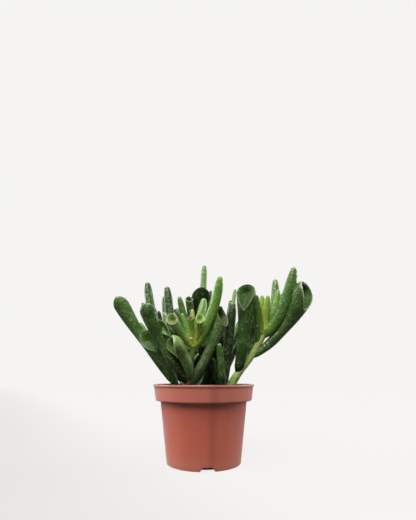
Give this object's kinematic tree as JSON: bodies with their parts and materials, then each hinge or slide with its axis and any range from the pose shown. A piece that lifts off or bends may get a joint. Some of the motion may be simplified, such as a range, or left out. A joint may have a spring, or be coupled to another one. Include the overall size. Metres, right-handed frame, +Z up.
{
  "type": "potted trumpet jade",
  "caption": "Succulent shrub of upright finger-like and trumpet-mouthed leaves on leafy stems, rooted in the soil of a tapered nursery pot with a stepped rim.",
  "frame": {"origin": "middle of the pot's flat underside, on the surface it stands on", "axes": "+Z up along the pot's axis, -Y towards the side the picture shows, +X to the right in the picture"},
  "size_m": [0.1756, 0.1117, 0.1878],
  "materials": {
    "pot_plastic": "satin",
    "soil": "matte",
    "leaf": "satin"
  },
  "bodies": {
    "root": {"pot": "pot_plastic", "soil": "soil", "leafy_stem_left": "leaf", "leafy_stem_front": "leaf", "leafy_stem_middle": "leaf", "leafy_stem_right": "leaf", "leafy_stem_back": "leaf", "leafy_stem_rear_right": "leaf", "leafy_stem_rear_left": "leaf"}
  },
  "joints": []
}
